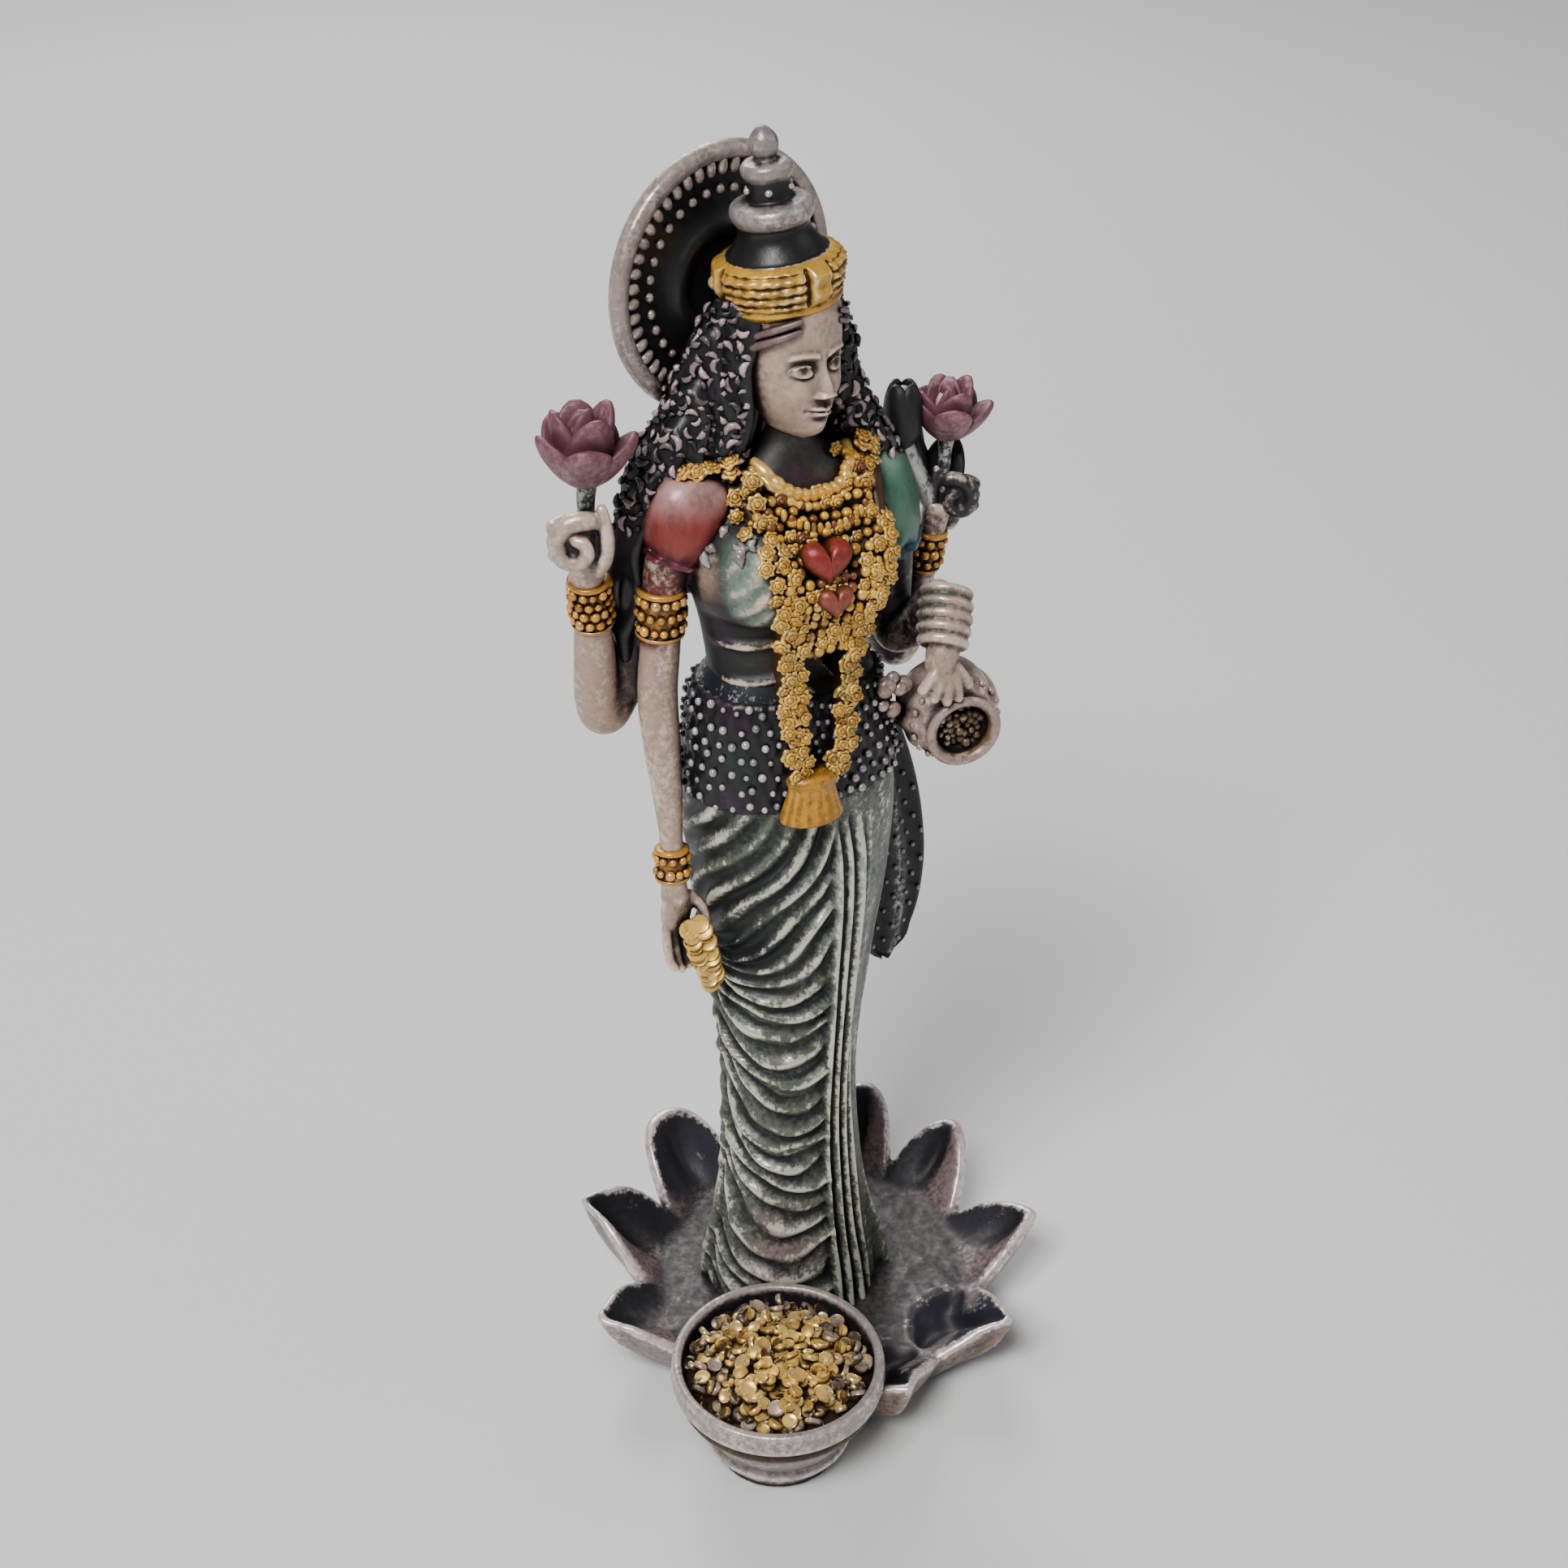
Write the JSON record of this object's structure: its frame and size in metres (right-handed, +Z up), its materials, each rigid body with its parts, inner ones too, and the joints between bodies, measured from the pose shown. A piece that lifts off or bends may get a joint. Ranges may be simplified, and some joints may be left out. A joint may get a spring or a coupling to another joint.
{
  "type": "lakshmi figure",
  "caption": "Small standing four-armed Lakshmi with halo and flower buds on an open lotus, with a bowl of coins in front, cast in one in painted resin.",
  "frame": {"origin": "middle of the lotus base on the surface it stands on", "axes": "+Z up, the figure faces -Y and its own left hand is towards +X"},
  "size_m": [0.0333, 0.0342, 0.0886],
  "materials": {
    "painted_resin": "cold-cast resin with a metal look, dark in the hollows and rubbed to warm silver on the raised parts, with gold, red, green, mauve and blue paint washes, satin"
  },
  "bodies": {
    "root": {"lakshmi_figure": "painted_resin"}
  },
  "joints": []
}
